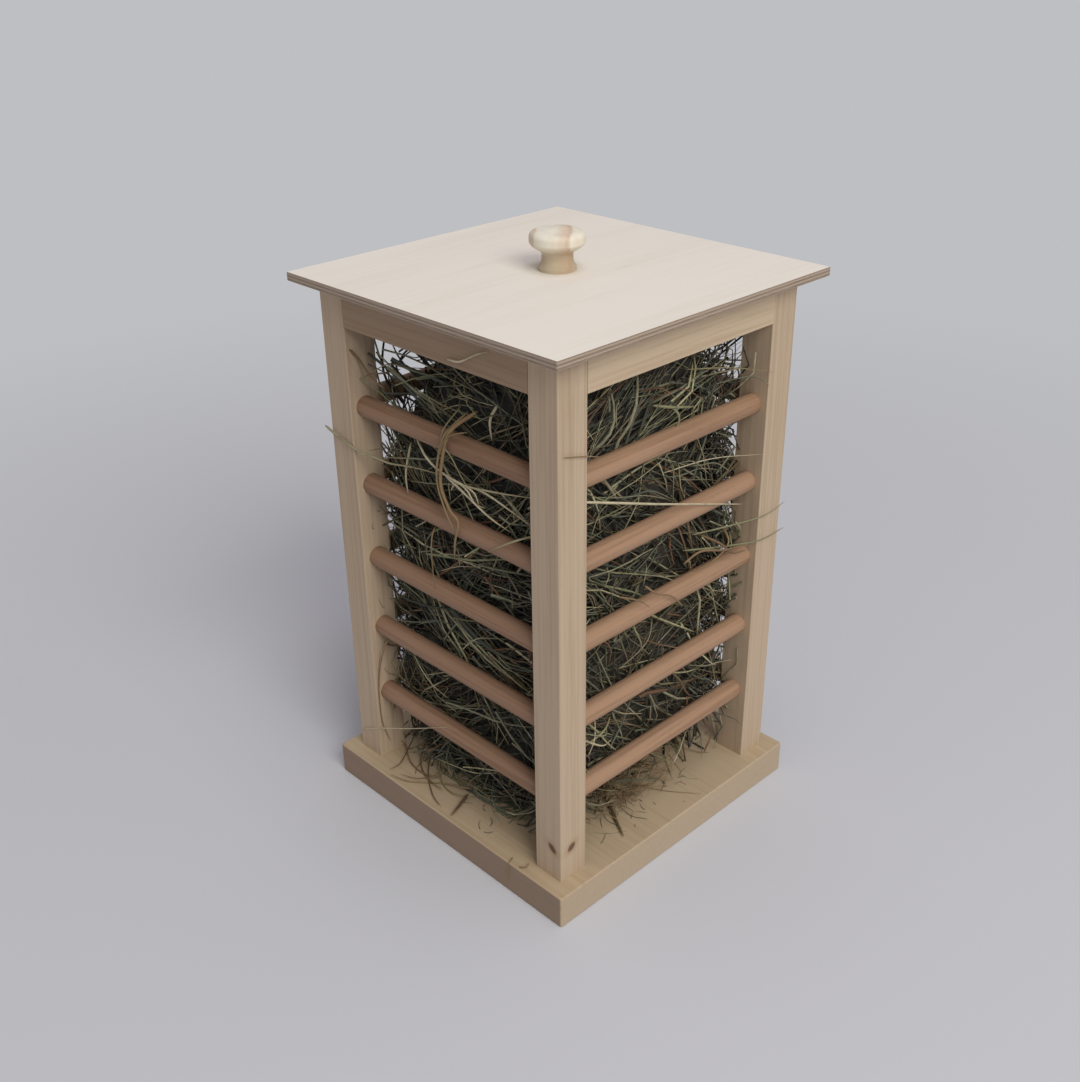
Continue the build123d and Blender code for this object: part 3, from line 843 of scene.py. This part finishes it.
def place_wisps(seed=31):
    """A tuft of thin brown hay that trails on the base board under the lowest right rung, in millimetres."""
    wisps = 150
    beyond_rung = 108
    board = base_top / MM + 0.8
    chance = random.Random(seed)
    bundle = new_bundle()
    for _ in range(wisps):
        middle = Vector((chance.uniform(62, 96), chance.triangular(-60, 52, -5),
                         chance.triangular(27.5, 52, 27.5)))
        way = chance.gauss(math.pi / 2, 0.6)
        half = chance.uniform(6, 20)
        ahead = Vector((math.cos(way), math.sin(way), 0)) * half
        sag = Vector((chance.uniform(-4, 4), chance.uniform(-4, 4), chance.uniform(0, 5)))
        stops = [middle - ahead, middle + sag, middle + ahead * chance.uniform(0.5, 1.0)]
        for stop in stops:
            stop.x = min(stop.x, beyond_rung)
            stop.z = max(stop.z, board)
        thick = chance.uniform(0.3, 0.6) * MM
        shade = chance.uniform(0.0, 0.3)
        grow_stalk(bundle, [stop * MM for stop in stops], thick, shade, sides=4, steps=4)
    return finish_bundle("hay_wisps", bundle, hay_dry_finish)


def place_corner_stalks(seed=52):
    """Stalks in painted shade that fill the four upright corners beside the posts, and cross the gaps above
    the heap.
    """
    chance = random.Random(seed)
    bundle = new_bundle()
    above = (
        (1.0, 0.20, ((-88, -70, 318), (-93, -82, 344), (-91, -80, 372), (-86, -72, 388))),
        (1.0, 0.30, ((-76, -66, 330), (-88, -78, 350), (-77, -80, 356), (-60, -80, 368), (-44, -74, 360))),
        (0.9, 0.10, ((-62, -60, 345), (-68, -76, 366), (-80, -80, 352), (-90, -78, 338))),
        (0.8, 0.40, ((-50, -70, 352), (-58, -80, 372), (-70, -76, 384), (-84, -66, 380))),
        (0.8, 0.60, ((-40, -84, 346), (-64, -88, 362), (-84, -82, 374))),
        (0.9, 0.20, ((-54, -82, 338), (-70, -86, 348), (-84, -84, 340), (-90, -80, 352))),
        (0.9, 0.10, ((70, 62, 340), (80, 72, 362), (83, 76, 392))),
        (0.9, 0.20, ((78, 66, 330), (84, 80, 356), (82, 82, 394))),
        (0.8, 0.05, ((66, 80, 336), (78, 86, 364), (76, 84, 393))),
        (0.8, 0.30, ((82, 70, 334), (87, 86, 348), (85, 87, 386))),
        (0.8, 0.15, ((60, 70, 346), (72, 78, 372), (70, 80, 394))),
    )
    grow_written(bundle, above)
    # How many stalks fill each corner: the back right one shows most. Their places are in millimetres
    fill = {(-1, -1): 290, (1, -1): 290, (1, 1): 440, (-1, 1): 290}
    wall = post_inner / MM - 1.6
    board = base_top / MM + 2
    top = 394
    for (side_x, side_y), stalks in fill.items():
        foot = 34 if side_x < 0 else 84  # the right corners are bare low down
        for _ in range(stalks):
            x = side_x * chance.uniform(70, 88)
            y = side_y * chance.uniform(70, 88)
            z = chance.uniform(foot, min(hay_top(x * MM, y * MM) / MM, 380))
            middle = Vector((x, y, z))
            way = math.atan2(side_y, side_x) + math.pi / 2 + chance.gauss(0, 0.5)
            ahead = Vector((math.cos(way), math.sin(way), chance.gauss(0, 0.7))) * chance.uniform(10, 26)
            sag = Vector((side_x * chance.uniform(0, 7), side_y * chance.uniform(0, 7),
                          chance.uniform(-5, 5)))
            stops = [middle - ahead, middle + sag, middle + ahead]
            for stop in stops:
                stop.x = held(stop.x, -wall, wall)
                stop.y = held(stop.y, -wall, wall)
                stop.z = held(stop.z, board, top)
            thick = chance.uniform(0.4, 0.9) * MM
            grow_stalk(bundle, [stop * MM for stop in stops], thick, chance.random(), sides=4, steps=3)
    return finish_bundle("hay_corner_stalks", bundle, hay_inner_shade_finish)


def place_stray_stalks(seed=12):
    """Loose ends that poke out through the gaps on every side, and litter on the base board."""
    gaps = 6
    litter = 46
    heap = 86 * MM
    at_rungs = 98 * MM
    chance = random.Random(seed)
    bundle = new_bundle()
    for quarter in range(4):
        turn = Matrix.Rotation(quarter * math.pi / 2, 3, "Z")
        for gap in range(gaps):
            middle = base_top + (gap + 0.5) * rung_pitch
            for _ in range(chance.randint(4, 7)):
                start = chance.uniform(-70, 70) * MM
                lean = chance.choice((-1, 1)) * chance.uniform(8, 34) * MM
                rise = chance.uniform(-9, 9) * MM
                level = middle + chance.uniform(-9, 9) * MM
                reach = chance.uniform(103, 119) * MM
                end = start + lean * chance.uniform(1.3, 1.9)
                droop = chance.uniform(0, 8) * MM
                stops = [Vector((start, -heap, level - rise)),
                         Vector((start + 0.5 * lean, -at_rungs, level)),
                         Vector((start + lean, -0.5 * (at_rungs + reach), level + 0.4 * rise)),
                         Vector((end, -reach, level - droop))]
                for stop in stops:
                    stop.x = held(stop.x, -heap, heap)
                thick = chance.uniform(0.35, 0.8) * MM
                grow_stalk(bundle, [turn @ stop for stop in stops], thick, chance.random(), sides=4, steps=4)
        for _ in range(litter):
            across = chance.triangular(-84, 84, 0) * MM
            out = chance.triangular(70, 122, 84) * MM
            way = chance.uniform(0, math.pi)
            length = chance.choice((3, 4, 6, 9, 14, 22)) * MM * chance.uniform(0.8, 1.3)
            ahead = Vector((math.cos(way), math.sin(way), 0)) * length / 2
            sag = Vector((-ahead.y, ahead.x, 0)) * chance.uniform(-0.4, 0.4)
            thick = chance.uniform(0.25, 0.6) * MM
            rest = Vector((across, -out, base_top + thick * 0.8))
            lift = Vector((0, 0, chance.uniform(0, 2) * MM))
            stops = [rest - ahead, rest + sag, rest + ahead + lift]
            for stop in stops:
                stop.x = held(stop.x, -88 * MM, 88 * MM)
                stop.y = held(stop.y, -125 * MM, -60 * MM)
            grow_stalk(bundle, [turn @ stop for stop in stops], thick, chance.random(), sides=4, steps=3)
    return finish_bundle("hay_stray_stalks", bundle, hay_middle_finish)


hay_pieces += [place_known_stalks(), place_wisps(), place_corner_stalks(), place_stray_stalks()]
for piece in hay_pieces:
    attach(piece, "feeder")
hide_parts("hay")


# ---------------------------------------------------------------- floor, light and camera

backdrop_tone = tone(190, 191, 195)


def seen_itself(tree):
    """One where the surface is seen, straight or in a reflection, and nought for the light it gives."""
    path = tree.nodes.new("ShaderNodeLightPath")
    return maths(tree, "MAXIMUM", path.outputs["Is Camera Ray"], path.outputs["Is Glossy Ray"])


def make_floor():
    """A plain pale studio floor that fades into the backdrop's even tone away from the feeder."""
    half = 16.0
    fade_start = 0.25
    fade_end = 1.5
    data = bpy.data.meshes.new("studio_floor")
    corners = [(-half, -half, 0), (half, -half, 0), (half, half, 0), (-half, half, 0)]
    data.from_pydata(corners, [], [(0, 1, 2, 3)])
    material, tree, shader, here = start_material("floor_pale")
    shader.inputs["Base Color"].default_value = tone(200, 201, 205)
    shader.inputs["Roughness"].default_value = 0.8
    far = spread(tree, length_of(tree, here["Object"]), fade_start, fade_end)
    shown = maths(tree, "MULTIPLY", far, seen_itself(tree))
    glow = output(tree, "ShaderNodeEmission", {"Color": backdrop_tone, "Strength": 1.0})
    mixed = output(tree, "ShaderNodeMixShader", {0: shown, 1: shader.outputs[0], 2: glow})
    tree.links.new(mixed, tree.nodes["Material Output"].inputs[0])
    data.materials.append(material)
    new_object("studio_floor", data)


def make_world():
    """Even light from all round, with the backdrop's tone where it is seen."""
    world = bpy.data.worlds.new("studio")
    bpy.context.scene.world = world
    world.use_nodes = True
    tree = world.node_tree
    soft = tree.nodes["Background"]
    soft.inputs["Color"].default_value = (1.0, 0.965, 1.01, 1.0)
    soft.inputs["Strength"].default_value = 0.34
    shown = output(tree, "ShaderNodeBackground", {"Color": backdrop_tone, "Strength": 1.0})
    mixed = output(tree, "ShaderNodeMixShader", {0: seen_itself(tree), 1: soft.outputs[0], 2: shown})
    tree.links.new(mixed, tree.nodes["World Output"].inputs[0])


def make_lamp(name, place, size, watts, colour):
    """A large soft panel, aimed at the feeder."""
    target = Vector((0.0, 0.0, 0.2))
    data = bpy.data.lights.new(name, "AREA")
    data.color = colour
    data.shape = "SQUARE"
    data.size = size
    data.energy = watts
    turn = (target - Vector(place)).to_track_quat("-Z", "Y").to_matrix().to_4x4()
    new_object(name, data).matrix_world = Matrix.Translation(place) @ turn


def make_camera():
    """The camera at the photograph's viewing angle."""
    place = Vector((0.596465, -0.593235, 0.654994))
    right = Vector((0.69772, 0.71625, -0.01307))
    up = Vector((-0.32509, 0.33284, 0.88517))
    turn = Matrix((right, up, right.cross(up))).transposed().to_4x4()
    data = bpy.data.cameras.new("camera")
    data.sensor_fit = "HORIZONTAL"
    data.sensor_width = 36.0
    data.lens = 42.19
    camera = new_object("camera", data)
    camera.matrix_world = Matrix.Translation(place) @ turn
    bpy.context.scene.camera = camera


make_floor()
make_world()
make_lamp("right_lamp", place=(3.0, -0.85, 2.75), size=2.2, watts=98.0, colour=(1.0, 0.995, 0.95))
make_lamp("top_lamp", place=(0.75, -0.1, 4.2), size=1.8, watts=32.5, colour=(1.0, 0.965, 1.04))
make_camera()
bpy.context.scene.view_settings.view_transform = "Standard"
